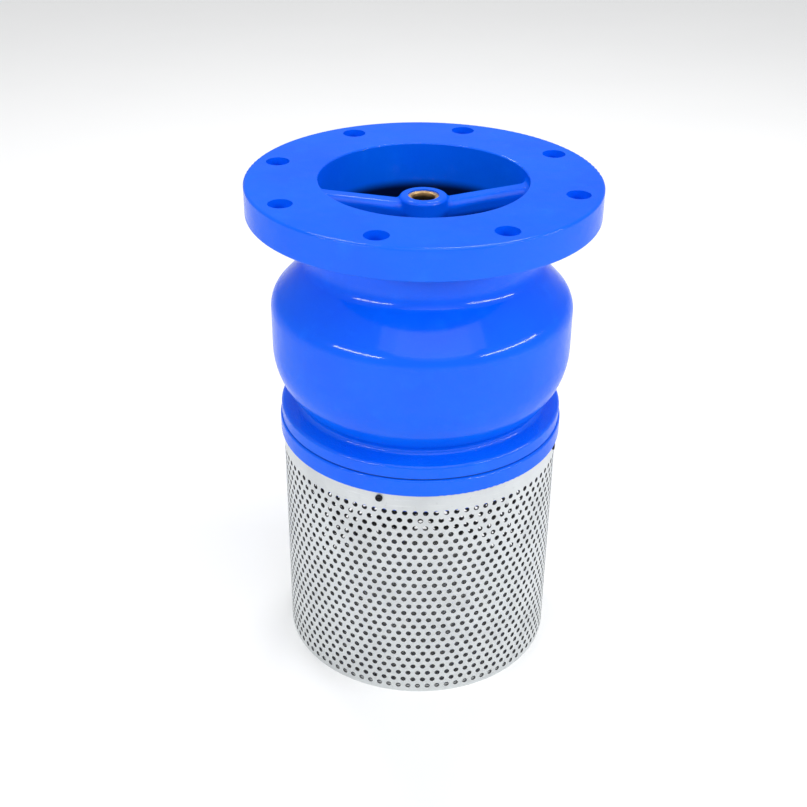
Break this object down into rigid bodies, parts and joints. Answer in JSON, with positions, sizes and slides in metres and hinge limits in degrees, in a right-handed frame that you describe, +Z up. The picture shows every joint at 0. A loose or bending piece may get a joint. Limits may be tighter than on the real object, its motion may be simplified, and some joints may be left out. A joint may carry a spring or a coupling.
{
  "type": "foot valve",
  "caption": "Flanged foot valve: bulged cast body with a bridge-guided, spring-loaded disc, and a perforated basket strainer clamped below it.",
  "frame": {"origin": "centre of the outlet flange's face", "axes": "+Z up out of the outlet flange along the valve's axis; +X along the bridge that carries the upper guide"},
  "size_m": [0.34, 0.34, 0.513],
  "materials": {
    "epoxy_blue": "glossy fusion-bonded epoxy over cast iron",
    "bronze": "machined cast bronze",
    "stainless": "turned stainless steel",
    "spring_steel": "drawn stainless wire",
    "fastener_steel": "bright stainless fasteners",
    "black_oxide": "black-oxide steel screws",
    "perforated_sheet": "bright perforated stainless sheet",
    "seal_rubber": "moulded EPDM",
    "gasket_rubber": "cut sheet EPDM"
  },
  "bodies": {
    "frame": {"valve_body": "epoxy_blue", "upper_bush": "bronze", "bush_circlip": "stainless", "upper_spring_seat": "stainless", "seat_ring": "bronze", "seat_gasket": "gasket_rubber", "lower_bush": "bronze", "ring_gasket": "gasket_rubber", "clamp_ring": "epoxy_blue", "clamp_screws": "fastener_steel", "clamp_washers": "fastener_steel", "strainer_shell": "perforated_sheet", "strainer_base": "perforated_sheet", "strainer_screws": "black_oxide"},
    "spring_cup": {"lower_spring_seat": "stainless", "closing_spring": "spring_steel"},
    "disc_unit": {"disc": "bronze", "stem": "stainless", "seal_ring": "seal_rubber", "seal_retainer": "stainless", "retainer_screws": "fastener_steel", "disc_washer": "stainless", "stem_nut": "stainless", "split_pin": "stainless"}
  },
  "joints": [
    {"name": "disc_lift", "type": "slide", "parent": "frame", "child": "spring_cup", "axis": [0, 0, 1], "range_m": [0, 0.048], "stiffness_N_per_m": 2600, "springref_m": -0.025, "deforming": ["closing_spring"]},
    {"name": "disc_spin", "type": "hinge", "parent": "spring_cup", "child": "disc_unit", "pos_m": [0, 0, -0.172], "axis": [0, 0, 1], "continuous": true}
  ]
}
